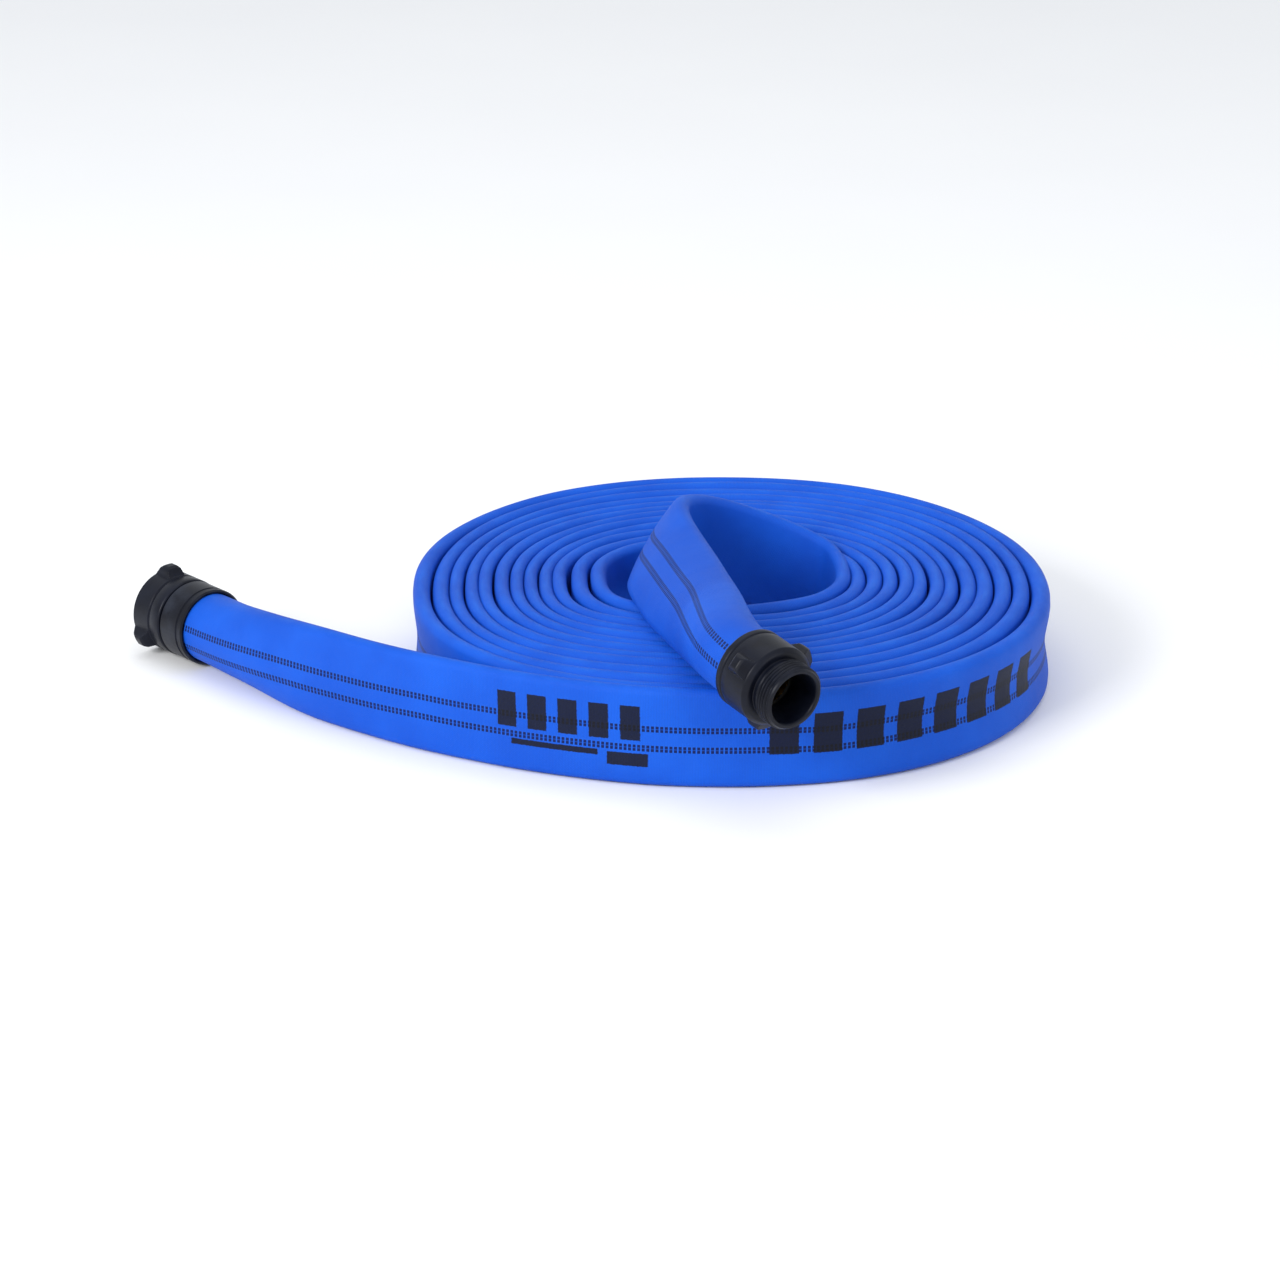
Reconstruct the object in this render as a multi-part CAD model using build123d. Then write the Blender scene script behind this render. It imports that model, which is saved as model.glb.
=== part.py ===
"""Rolled attack fire hose: a double-jacket lay-flat hose, 45 mm bore, rolled on edge, with a
rocker-lug swivel coupling on its outer end and a male coupling on its inner end.

Frame: millimetres, +Z up. The roll lies flat on the plane Z = 0. The origin is on that plane,
under the middle of the whole object's bounding box. The hose leaves the roll at the front and
runs towards -X to the female coupling; its inner end rises out of the roll's eye and lies over
the turns towards -Y, with the male coupling past the roll's front edge.
"""
from build123d import *
import math
import os

# ---------------------------------------------------------------- driving dimensions (mm)
LAY_FLAT_WIDTH = 78.0        # width of the hose pressed flat, so also the height of the roll
FLAT_THICKNESS = 12.0        # thickness of one flat turn, the pitch of the roll at its sides
HOSE_OD = 55.0               # outside diameter where the hose is round, in the couplings
ROLL_RADIUS = 250.5          # outside radius of the roll where the outermost turn leaves it
ROLL_X, ROLL_Y = 114.0, 45.0  # the roll's axis in the row frame

OUTER_JACKET_T = 1.5         # woven outer jacket, wall
INNER_JACKET_T = 1.3         # woven inner jacket, wall
LINER_T = 1.0                # rubber liner, wall
LAYER_GAP = 0.45             # slack between two layers

BOWL_R = 31.0                # outside radius of both coupling bowls
BOWL_BORE_R = 27.85          # bore that takes the end of the hose
BOWL_DEPTH = 26.0            # depth of that bore
INSERTION = 22.0             # length of hose inside a bowl
WATERWAY_R = 19.5            # clear bore through both couplings
RING_OUT_R, RING_T, RING_L = 22.6, 1.5, 21.0     # expansion ring
GASKET_T = 3.4               # tail gasket thickness

MALE_THREAD_R = 25.27        # 1.5 inch NH: 1.990 inch over the crests
MALE_THREAD_L = 16.0
FEMALE_THREAD_R = 25.46      # 1.5 inch NH: root of the female thread
FEMALE_THREAD_L = 16.0
NOSE_R = 27.0                # nose of the female bowl that the swivel turns on
NOSE_CLEARANCE = 0.08        # radial running clearance of the swivel
RACE_S = 37.6                # place of the ball race along the female coupling
BALL_R, BALL_COUNT = 2.0, 36
RACE_CLEARANCE = 0.08
NUT_R = 31.5                 # outside radius of the swivel nut
LUG_TIP_R = 38.5             # radius over the rocker lugs
LUG_COUNT = 3

# couplings: centre of the rear rim of the bowl, direction to the mouth, sideways direction
FEMALE_AT = (-412.7, 8.0, 31.8)
FEMALE_AXIS = (-0.662, 0.75, 0.0)
FEMALE_SIDE = (-0.75, -0.662, 0.0)
MALE_AT = (7.0, -280.2, 108.8)
MALE_AXIS = (0.57, -0.81, -0.14)
MALE_SIDE = (0.81, 0.57, 0.0)
FEMALE_LUG_ANGLE = 90.0      # one lug points straight up
MALE_LUG_ANGLE = 25.0

# routes of the two free ends: centre line x, y, z, then the direction of the flat hose's
# width x, y, z, then how round the hose is there, 0 flat to 1 round. Roll axis at 0, 0.
OUTER_ROUTE = [
    (0, -244.5, 39.3, 0, 0, 1, 0.00),
    (-45, -244.5, 39.3, 0, 0, 1, 0.00),
    (-100, -233, 39.3, 0, 0, 1, 0.00),
    (-160, -212, 39.3, 0, 0, 1, 0.00),
    (-215, -184, 39.3, 0, 0, 1, 0.02),
    (-265, -153, 39.0, 0, 0, 1, 0.08),
    (-312, -115, 38.0, 0, 0, 1, 0.22),
    (-350, -74, 36.2, 0, 0, 1, 0.48),
    (-382, -32, 33.2, 0, 0, 1, 0.84),
    (-406.1, 0.5, 31.8, 0, 0, 1, 1.00),
    (-427.26, 24.5, 31.8, 0, 0, 1, 1.00),
]
INNER_ROUTE = [
    (100, 18, 39.3, 0, 0, 1, 0.00),
    (100, 52, 39.3, 0, 0, 1, 0.00),
    (82, 80, 43, 0, 0, 1, 0.00),
    (48, 92, 54, 0.1, 0, 1, 0.02),
    (10, 90, 70, 0.2, 0, 1, 0.05),
    (-26, 78, 86, 0.3, 0, 1, 0.10),
    (-54, 48, 97, 0.4, 0, 1, 0.18),
    (-60, 2, 102.6, 0.65, 0.05, 0.8, 0.28),
    (-53, -50, 105.5, 0.80, 0.2, 0.58, 0.36),
    (-38, -105, 105, 0.76, 0.24, 0.60, 0.45),
    (-23, -162, 105, 0.72, 0.24, 0.66, 0.62),
    (-14, -216, 108, 0.60, 0.22, 0.78, 0.86),
    (-0.4, -269.7, 110.6, 0.468, 0.175, 0.866, 1.00),
    (19.54, -298.02, 105.72, 0.468, 0.175, 0.866, 1.00),
]
STATION_STEP = 17.0          # spacing of the sections along a free end

# outline of the roll about its axis: angle in degrees, radius. The step at -90 degrees is the
# end of the outermost turn, where the hose leaves the roll.
ROLL_OUTLINE = [(-90, 250.5), (-45, 251.5), (0, 251.5), (45, 250.5), (90, 250.0), (135, 250.0),
                (180, 249.5), (215, 246.5), (240, 242.3), (270, 238.2)]
# outline of the eye, counter-clockwise from the end of the innermost turn
EYE_OUTLINE = [(107.0, 18), (106.3, 44), (97.5, 72), (72, 95), (30, 100.5), (-12, 95.5),
               (-52, 83), (-86, 62), (-105, 34), (-106, 6), (-88, -20), (-48, -35), (0, -39),
               (44, -36), (76, -22), (90, -4), (93.6, 18)]


def vec(p):
    return Vector(*p[:3])


def put(shape):
    """from the frame with the roll's axis at the origin to the row frame"""
    return Pos(ROLL_X, ROLL_Y, 0) * shape


def turned(points):
    """solid of revolution about +Z from (radius, height) points"""
    return revolve(Plane.XZ * make_face(Polyline(*points, close=True)), Axis.Z)


def tube(r_out, r_in, low, high):
    return Pos(0, 0, low) * extrude(Circle(r_out) - Circle(r_in), high - low)


# ---------------------------------------------------------------- hose
def route_path(route):
    """straight runs joined by tangent arcs, each arc as large as its two runs allow"""
    pts = [vec(p) for p in route]
    radii = []
    for a, b, c in zip(pts, pts[1:], pts[2:]):
        turn = math.radians((b - a).get_angle(c - b))
        radii.append(0.45 * min((b - a).length, (c - b).length) / math.tan(turn / 2))
    return FilletPolyline(*pts, radius=radii), pts, radii


def stations(route, name):
    path, pts, radii = route_path(route)
    print(name, "length", round(path.length, 1), "radii", [round(r) for r in radii])
    fine = [i * path.length / 600 for i in range(601)]
    spots = [path.position_at(s, position_mode=PositionMode.LENGTH) for s in fine]
    marks = []
    for p in pts:
        k = min(range(601), key=lambda i: (spots[i] - p).length)
        marks.append(fine[k])
    marks[0], marks[-1] = 0.0, path.length
    count = round(path.length / STATION_STEP)
    out = []
    for i in range(count + 1):
        s = path.length * i / count
        j = max(k for k in range(len(marks) - 1) if marks[k] <= s + 1e-9)
        f = (s - marks[j]) / (marks[j + 1] - marks[j])
        f = f * f * (3 - 2 * f)
        row = [(1 - f) * a + f * b for a, b in zip(route[j][3:], route[j + 1][3:])]
        p = path.position_at(s, position_mode=PositionMode.LENGTH)
        t = path.tangent_at(s, position_mode=PositionMode.LENGTH)
        w = Vector(*row[:3])
        w = (w - t * w.dot(t)).normalized()
        out.append((p, t, w, row[3]))
    return out


def section(station, inset):
    """the hose's cross-section at one station, its wall pulled in by inset"""
    p, t, w, k = station
    a = (1 - k) * LAY_FLAT_WIDTH / 2 + k * HOSE_OD / 2 - inset
    b = (1 - k) * FLAT_THICKNESS / 2 + k * HOSE_OD / 2 - inset
    return Plane(origin=p, x_dir=w, z_dir=t) * Ellipse(a, b)


def skin(line, inset):
    """the faces round a free end, one ruled band between each two stations"""
    out = []
    for one, two in zip(line, line[1:]):
        span = loft([section(one, inset), section(two, inset)], ruled=True)
        out += [f for f in span.faces() if f.geom_type != GeomType.PLANE]
    return out


def layers(route, name):
    """the hose's three layers, each a hollow solid closed by a rim at both ends"""
    line = stations(route, name)
    depth = 0.0
    out = {}
    for layer, wall in (("outer_jacket", OUTER_JACKET_T), ("inner_jacket", INNER_JACKET_T),
                        ("liner", LINER_T)):
        rims = [(section(st, depth) - section(st, depth + wall)).faces()[0]
                for st in (line[0], line[-1])]
        out[f"{name}_{layer}"] = Solid(Shell(skin(line, depth) + skin(line, depth + wall) + rims))
        depth += wall + LAYER_GAP
    return out


def hose_roll():
    rim = []
    for (a0, r0), (a1, r1) in zip(ROLL_OUTLINE, ROLL_OUTLINE[1:]):
        for i in range(5):
            f = i / 5
            a, r = math.radians(a0 + f * (a1 - a0)), r0 + (r1 - r0) * f * f * (3 - 2 * f)
            rim.append((r * math.cos(a), r * math.sin(a)))
    rim.append((0, -ROLL_OUTLINE[-1][1]))
    outer = Spline(*rim)
    step = Line(rim[-1], rim[0])
    eye = Spline(*EYE_OUTLINE)
    lip = Line(EYE_OUTLINE[-1], EYE_OUTLINE[0])
    flat = make_face([outer, step]) - make_face([eye, lip])
    body = extrude(flat, LAY_FLAT_WIDTH)
    return body


# ---------------------------------------------------------------- couplings
def rocker_lugs(low, high, first_angle, seat_r):
    """three lugs, rounded along the coupling so that they ride over edges"""
    mid = (low + high) / 2
    envelope = turned([(0, low), (seat_r + 1.2, low), (LUG_TIP_R - 1.6, low + 3.2),
                       (LUG_TIP_R, mid - 3.0), (LUG_TIP_R, mid + 3.0),
                       (LUG_TIP_R - 1.6, high - 3.2), (seat_r + 1.2, high), (0, high)])
    block = Pos(0, 0, low) * extrude(make_face(Polyline(
        (seat_r - 2.6, -8.6), (seat_r + 1.2, -7.6), (LUG_TIP_R - 1.6, -5.8),
        (LUG_TIP_R + 0.4, -3.8), (LUG_TIP_R + 0.4, 3.8), (LUG_TIP_R - 1.6, 5.8),
        (seat_r + 1.2, 7.6), (seat_r - 2.6, 8.6), close=True)), high - low)
    lug = block & envelope
    return [Rot(0, 0, first_angle + 360 / LUG_COUNT * i) * lug for i in range(LUG_COUNT)]


def bowl_bore(far):
    """points of the bowl's inside, from the rear rim to the waterway, with gripping grooves"""
    pts = [(BOWL_BORE_R + 0.9, 0), (BOWL_BORE_R, 0.9)]
    for s in (5.0, 9.0, 13.0, 17.0):
        pts += [(BOWL_BORE_R, s), (BOWL_BORE_R + 0.7, s + 0.7), (BOWL_BORE_R, s + 1.4)]
    pts += [(BOWL_BORE_R, BOWL_DEPTH), (WATERWAY_R, BOWL_DEPTH), (WATERWAY_R, far)]
    return pts


def male_coupling_body():
    t0 = 40.0
    end = t0 + MALE_THREAD_L
    inner = bowl_bore(end)
    outer = [(WATERWAY_R + 1.8, end), (MALE_THREAD_R - 1.6, end), (MALE_THREAD_R, end - 1.6),
             (MALE_THREAD_R, t0), (MALE_THREAD_R - 1.9, t0 - 0.6), (MALE_THREAD_R - 1.9, t0 - 3.4),
             (28.2, t0 - 4.2), (BOWL_R - 0.6, t0 - 6.6), (BOWL_R, t0 - 7.6), (BOWL_R, 8.0),
             (BOWL_R - 0.7, 7.4), (BOWL_R - 0.7, 5.8), (BOWL_R, 5.2), (BOWL_R, 1.2),
             (BOWL_R - 1.2, 0)]
    body = turned(inner[:-1] + [(WATERWAY_R, end - 1.8)] + outer)
    for lug in rocker_lugs(14.0, 31.0, MALE_LUG_ANGLE, BOWL_R):
        body += lug
    return body - Cylinder(BOWL_BORE_R, 20, align=(Align.CENTER, Align.CENTER, Align.MIN)).moved(
        Location((0, 0, 1)))


def female_bowl():
    tip = 43.4
    g = BALL_R + RACE_CLEARANCE
    inner = bowl_bore(tip)
    outer = [(WATERWAY_R + 1.0, tip), (NOSE_R - 1.0, tip), (NOSE_R, tip - 1.0), (NOSE_R, 31.0),
             (NOSE_R - 0.6, 30.4), (NOSE_R - 0.6, 29.6), (BOWL_R - 1.8, 29.0), (BOWL_R, 27.4),
             (BOWL_R, 8.0), (BOWL_R - 0.7, 7.4), (BOWL_R - 0.7, 5.8), (BOWL_R, 5.2),
             (BOWL_R, 1.2), (BOWL_R - 1.2, 0)]
    body = turned(inner[:-1] + [(WATERWAY_R, tip - 1.0)] + outer)
    return body - Pos(0, 0, RACE_S) * Torus(NOSE_R + NOSE_CLEARANCE / 2, g)


NUT_LOW, NUT_HIGH = 30.0, 64.0
PLUG_ANGLE = 30.0


def plug_place():
    return Pos(0, 0, RACE_S) * Rot(0, 0, PLUG_ANGLE) * Rot(0, 90, 0)


def swivel_nut():
    g = BALL_R + RACE_CLEARANCE
    bore = NOSE_R + NOSE_CLEARANCE
    t0 = NUT_HIGH - FEMALE_THREAD_L - 1.0
    body = turned([
        (bore + 0.8, NUT_LOW), (bore, NUT_LOW + 0.8), (bore, 43.8), (26.2, 43.8), (26.2, t0 - 0.7),
        (FEMALE_THREAD_R, t0), (FEMALE_THREAD_R, NUT_HIGH - 1.0), (FEMALE_THREAD_R + 1.2, NUT_HIGH),
        (NUT_R - 1.2, NUT_HIGH), (NUT_R, NUT_HIGH - 1.2), (NUT_R, 44.6), (NUT_R - 0.8, 43.8),
        (NUT_R - 0.8, 42.4), (NUT_R, 41.6), (NUT_R, NUT_LOW + 1.4), (NUT_R - 1.4, NUT_LOW)])
    for lug in rocker_lugs(46.0, NUT_HIGH - 1.0, FEMALE_LUG_ANGLE, NUT_R):
        body += lug
    body -= Cylinder(FEMALE_THREAD_R, 30, align=(Align.CENTER, Align.CENTER, Align.MIN)).moved(
        Location((0, 0, t0)))
    body -= Pos(0, 0, RACE_S) * Torus(NOSE_R + NOSE_CLEARANCE / 2, g)
    body -= plug_place() * Pos(0, 0, NOSE_R) * Cylinder(
        2.3, 10, align=(Align.CENTER, Align.CENTER, Align.MIN))
    return body


def ball_race_plug():
    """screw that closes the hole through which the balls are loaded"""
    low = NOSE_R + NOSE_CLEARANCE / 2 + BALL_R + 0.35
    high = NUT_R - 0.35
    screw = Pos(0, 0, low) * Cylinder(2.2, high - low,
                                      align=(Align.CENTER, Align.CENTER, Align.MIN))
    socket = Pos(0, 0, high - 1.2) * extrude(RegularPolygon(1.15, 6), 2)
    return plug_place() * (screw - socket)


def swivel_balls():
    pitch = NOSE_R + NOSE_CLEARANCE / 2
    return [Rot(0, 0, 360 / BALL_COUNT * i) * Pos(pitch, 0, RACE_S) * Sphere(BALL_R)
            for i in range(BALL_COUNT)]


def swivel_gasket():
    return Pos(0, 0, 43.6) * extrude(Circle(25.2) - Circle(19.9), 2.4)


def expansion_ring():
    ring = turned([(RING_OUT_R - RING_T, 0.6), (RING_OUT_R - 0.3, 0.6), (RING_OUT_R, 0.9),
                   (RING_OUT_R, RING_L + 0.3), (RING_OUT_R - 0.3, RING_L + 0.6),
                   (RING_OUT_R - RING_T, RING_L + 0.6)])
    return ring


def tail_gasket():
    low = INSERTION + 0.25
    return tube(BOWL_BORE_R - 0.25, WATERWAY_R + 1.2, low, low + GASKET_T)


# ---------------------------------------------------------------- assembly
def solids_of(shape):
    """every solid in a shape or a list of shapes"""
    if isinstance(shape, (list, tuple)):
        return [s for item in shape for s in solids_of(item)]
    return list(shape.solids())


nodes = {"hose_roll": put(hose_roll())}
for name, shape in {**layers(OUTER_ROUTE, "outer_end"), **layers(INNER_ROUTE, "inner_end")}.items():
    nodes[name] = put(shape)

male = Plane(origin=MALE_AT, x_dir=MALE_SIDE, z_dir=MALE_AXIS)
female = Plane(origin=FEMALE_AT, x_dir=FEMALE_SIDE, z_dir=FEMALE_AXIS)
for name, plane, shape in (
        ("male_coupling_body", male, male_coupling_body()),
        ("male_expansion_ring", male, expansion_ring()),
        ("male_tail_gasket", male, tail_gasket()),
        ("female_bowl", female, female_bowl()),
        ("female_expansion_ring", female, expansion_ring()),
        ("female_tail_gasket", female, tail_gasket()),
        ("swivel_nut", female, swivel_nut()),
        ("ball_race_plug", female, ball_race_plug()),
        ("swivel_balls", female, swivel_balls()),
        ("swivel_gasket", female, swivel_gasket())):
    nodes[name] = [put(plane * s) for s in solids_of(shape)]

os.makedirs("parts", exist_ok=True)
for name, shape in nodes.items():
    found = solids_of(shape)
    export_step(found[0] if len(found) == 1 else Compound(children=found), f"parts/{name}.step")
print(len(nodes), "nodes")
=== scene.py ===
import math

import bmesh
import bpy
import numpy as np
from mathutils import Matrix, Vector


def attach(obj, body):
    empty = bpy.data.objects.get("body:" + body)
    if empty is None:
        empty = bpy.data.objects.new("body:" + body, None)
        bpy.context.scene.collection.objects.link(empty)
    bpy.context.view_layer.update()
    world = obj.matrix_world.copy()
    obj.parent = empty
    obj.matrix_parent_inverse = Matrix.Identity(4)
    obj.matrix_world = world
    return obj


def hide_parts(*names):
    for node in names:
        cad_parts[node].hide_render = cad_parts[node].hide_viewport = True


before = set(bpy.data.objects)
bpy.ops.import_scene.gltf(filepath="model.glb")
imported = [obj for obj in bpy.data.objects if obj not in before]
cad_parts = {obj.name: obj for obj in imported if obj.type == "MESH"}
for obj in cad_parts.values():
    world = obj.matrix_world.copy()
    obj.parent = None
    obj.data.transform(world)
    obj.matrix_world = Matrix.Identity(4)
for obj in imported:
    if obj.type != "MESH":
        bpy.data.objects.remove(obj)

scene = bpy.context.scene
scene.view_settings.view_transform = "Standard"
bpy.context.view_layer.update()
ROLL_X, ROLL_Y = 114.0, 45.0     # the roll's axis in the row frame, mm


def to_row(p):
    """millimetres about the roll's axis to metres in the row frame"""
    p = np.asarray(p, float)
    return (p + np.array([ROLL_X, ROLL_Y, 0.0])) / 1000.0


# ---------------------------------------------------------------- camera
EL = math.radians(20.655)
target = Vector((0.041425, 0.045, 0.024346))
cam_data = bpy.data.cameras.new("camera")
cam_data.sensor_width = 36.0
cam_data.lens = 123.974
cam_data.clip_start, cam_data.clip_end = 0.05, 60.0
camera = bpy.data.objects.new("camera", cam_data)
scene.collection.objects.link(camera)
camera.location = target - 3.5 * Vector((0.0, math.cos(EL), -math.sin(EL)))
camera.rotation_euler = (math.radians(90.0) - EL, 0.0, 0.0)
scene.camera = camera

# ---------------------------------------------------------------- routes of the two free ends
# x, y, z, width direction x, y, z, how round, how hollow the striped face is (mm)
OUTER_ROUTE = [
    (0, -244.5, 39.3, 0, 0, 1, 0.00, 2.6),
    (-45, -244.5, 39.3, 0, 0, 1, 0.00, 2.4),
    (-100, -233, 39.3, 0, 0, 1, 0.00, 1.8),
    (-160, -212, 39.3, 0, 0, 1, 0.01, 1.0),
    (-215, -184, 39.3, 0, 0, 1, 0.04, 0.3),
    (-265, -153, 39.0, 0, 0, 1, 0.11, 0.0),
    (-312, -115, 38.0, 0, 0, 1, 0.26, 0.0),
    (-350, -74, 36.2, 0, 0, 1, 0.52, 0.0),
    (-382, -32, 33.2, 0, 0, 1, 0.86, 0.0),
    (-406.1, 0.5, 31.8, 0, 0, 1, 1.00, 0.0),
    (-427.26, 24.5, 31.8, 0, 0, 1, 1.00, 0.0),
]
INNER_ROUTE = [
    (88.6, 17.0, 39.3, 0, 0, 1, 0.00, 0.0),
    (89.0, 46, 39.3, 0, 0, 1, 0.00, 0.0),
    (77, 73, 43, 0, 0, 1, 0.00, 0.0),
    (46, 84, 54, 0.1, 0, 1, 0.02, 0.0),
    (10, 82, 69, 0.2, 0, 1, 0.05, 0.0),
    (-26, 72, 84, 0.3, 0, 1, 0.10, 0.0),
    (-53, 44, 95, 0.4, 0, 1, 0.18, 0.0),
    (-58, 2, 99, 0.6, 0.05, 0.85, 0.28, 0.0),
    (-51, -50, 102, 0.76, 0.2, 0.62, 0.36, 0.0),
    (-39, -105, 102.5, 0.76, 0.24, 0.60, 0.45, 0.0),
    (-24, -162, 104, 0.72, 0.24, 0.66, 0.62, 0.0),
    (-14, -216, 107.6, 0.60, 0.22, 0.78, 0.86, 0.0),
    (-0.4, -269.7, 110.6, 0.468, 0.175, 0.866, 1.00, 0.0),
    (19.54, -298.02, 105.72, 0.468, 0.175, 0.866, 1.00, 0.0),
]


def along(name, rows, fine):
    """points read from the NURBS spline that has these rows as its control points"""
    data = bpy.data.curves.new(name, "CURVE")
    data.dimensions = "3D"
    data.resolution_u = fine
    line = data.splines.new("NURBS")
    line.points.add(len(rows) - 1)
    for point, row in zip(line.points, rows):
        point.co = (row[0], row[1], row[2], 1.0)
    line.order_u = 3
    line.use_endpoint_u = True
    holder = bpy.data.objects.new(name, data)
    scene.collection.objects.link(holder)
    bpy.context.view_layer.update()
    mesh = bpy.data.meshes.new_from_object(holder)
    out = np.array([v.co[:] for v in mesh.vertices])
    bpy.data.meshes.remove(mesh)
    bpy.data.objects.remove(holder)
    bpy.data.curves.remove(data)
    return out


def unit(a):
    return a / np.linalg.norm(a, axis=-1, keepdims=True)


def spline_of(name, route, fine=14):
    centre = along(name, [to_row(r[:3]) for r in route], fine) * 1000.0 - np.array([ROLL_X, ROLL_Y, 0.0])
    width = along(name + "_w", [r[3:6] for r in route], fine)
    extra = along(name + "_x", [(r[6], r[7], 0.0) for r in route], fine)
    return centre, width, np.clip(extra[:, 0], 0, 1), extra[:, 1]


# ---------------------------------------------------------------- the hose's cross-section
WIDTH, THICK, ROUND_D = 78.0, 12.0, 55.0


def shares():
    """where the section's points lie round it, as shares of its girth from its top edge"""
    girth = 2 * (WIDTH - THICK) + math.pi * THICK
    arc = math.pi * THICK / 4 / girth
    flat = (WIDTH - THICK) / girth
    half = list(np.linspace(0, arc, 7)[:-1]) + list(arc + flat * np.linspace(0, 1, 15)[:-1])
    half += list(arc + flat + arc * np.linspace(0, 1, 7)[:-1])
    return np.array(half + [0.5 + h for h in half])


SHARE = shares()
NS = len(SHARE)
GIRTH = 170.0


def flat_shape(w, t):
    """a flat hose's section, w by t with round edges, at SHARE: along the width, towards the face"""
    r, L = t / 2, w - t
    girth = 2 * L + 2 * math.pi * r
    a = math.pi * r / 2
    out = []
    for f in SHARE:
        q = f * girth
        if q < a:
            out.append((L / 2 + r * math.cos(q / r), r * math.sin(q / r)))
        elif q < a + L:
            out.append((L / 2 - (q - a), r))
        elif q < 3 * a + L:
            th = (q - a - L) / r
            out.append((-L / 2 - r * math.sin(th), r * math.cos(th)))
        elif q < 3 * a + 2 * L:
            out.append((-L / 2 + (q - 3 * a - L), -r))
        else:
            th = (q - 3 * a - 2 * L) / r
            out.append((L / 2 + r * math.sin(th), -r * math.cos(th)))
    return np.array(out)


def girth_of(shape):
    return np.linalg.norm(np.roll(shape, -1, 0) - shape, axis=1).sum()


CIRCLE = np.stack([ROUND_D / 2 * np.cos(2 * np.pi * SHARE), ROUND_D / 2 * np.sin(2 * np.pi * SHARE)], 1)


def section(round_, w=WIDTH, t=THICK, hollow=0.0, inset=0.0):
    flat = flat_shape(w, t)
    shape = (1 - round_) * flat + round_ * CIRCLE
    want = (1 - round_) * girth_of(flat) + round_ * girth_of(CIRCLE)
    shape = shape * (want / girth_of(shape))
    if hollow:
        q = np.clip(shape[:, 0] / (w / 2 - t * 0.35), -1, 1)
        dip = hollow * np.cos(q * math.pi / 2) ** 2
        shape[:, 1] -= np.where(shape[:, 1] > 0, dip, 0.0)
    if inset:
        a, b = np.abs(shape[:, 0]).max(), np.abs(shape[:, 1]).max()
        shape = shape * np.array([(a - inset) / a, (b - inset) / b])
    return shape


# ---------------------------------------------------------------- mesh from rings of points
def ring_mesh(name, rings, s_mm, materials, inner=None, inner_material=0, v_mm=None):
    """a tube of rings of points with a flat cap or, with an inner wall, a rim at each end"""
    count, ns = rings.shape[0], rings.shape[1]
    verts = [rings.reshape(-1, 3)]
    faces, uvs, mats = [], [], []
    v_of = np.append(SHARE, 1.0) * GIRTH if v_mm is None else v_mm

    def wall(base, flip, mat):
        for i in range(count - 1):
            for j in range(ns):
                k = (j + 1) % ns
                quad = [base + i * ns + j, base + (i + 1) * ns + j, base + (i + 1) * ns + k, base + i * ns + k]
                uv = [(s_mm[i], v_of[j]), (s_mm[i + 1], v_of[j]), (s_mm[i + 1], v_of[j + 1]), (s_mm[i], v_of[j + 1])]
                if flip:
                    quad.reverse(); uv.reverse()
                faces.append(quad); uvs.append(uv); mats.append(mat)

    wall(0, False, 0)
    if inner is None:
        faces.append([j for j in range(ns)]); uvs.append([(s_mm[0], v_of[j]) for j in range(ns)]); mats.append(0)
        last = (count - 1) * ns
        faces.append([last + j for j in reversed(range(ns))])
        uvs.append([(s_mm[-1], v_of[j]) for j in reversed(range(ns))]); mats.append(0)
    else:
        base = count * ns
        verts.append(inner.reshape(-1, 3))
        wall(base, True, inner_material)
        for i, flip in ((0, False), (count - 1, True)):
            for j in range(ns):
                k = (j + 1) % ns
                quad = [i * ns + j, i * ns + k, base + i * ns + k, base + i * ns + j]
                uv = [(s_mm[i], v_of[j]), (s_mm[i], v_of[j + 1]), (s_mm[i], v_of[j + 1]), (s_mm[i], v_of[j])]
                if flip:
                    quad.reverse(); uv.reverse()
                faces.append(quad); uvs.append(uv); mats.append(0)
    verts = to_row(np.concatenate(verts))
    mesh = bpy.data.meshes.new(name)
    mesh.from_pydata(verts.tolist(), [], faces)
    layer = mesh.uv_layers.new(name="hose")
    flat = np.array([c for face in uvs for c in face], float) / 1000.0
    layer.data.foreach_set("uv", flat.reshape(-1))
    for m in materials:
        mesh.materials.append(m)
    mesh.polygons.foreach_set("material_index", mats)
    mesh.polygons.foreach_set("use_smooth", [len(f) == 4 for f in faces])
    bm = bmesh.new(); bm.from_mesh(mesh)
    bmesh.ops.recalc_face_normals(bm, faces=bm.faces)
    for e in bm.edges:
        if len(e.link_faces) == 2:
            a, b = e.link_faces
            if len(a.verts) != 4 or len(b.verts) != 4 or a.normal.angle(b.normal, 0) > math.radians(50):
                e.smooth = False
    bm.to_mesh(mesh); bm.free()
    mesh.update()
    obj = bpy.data.objects.new(name, mesh)
    scene.collection.objects.link(obj)
    return obj


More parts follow.
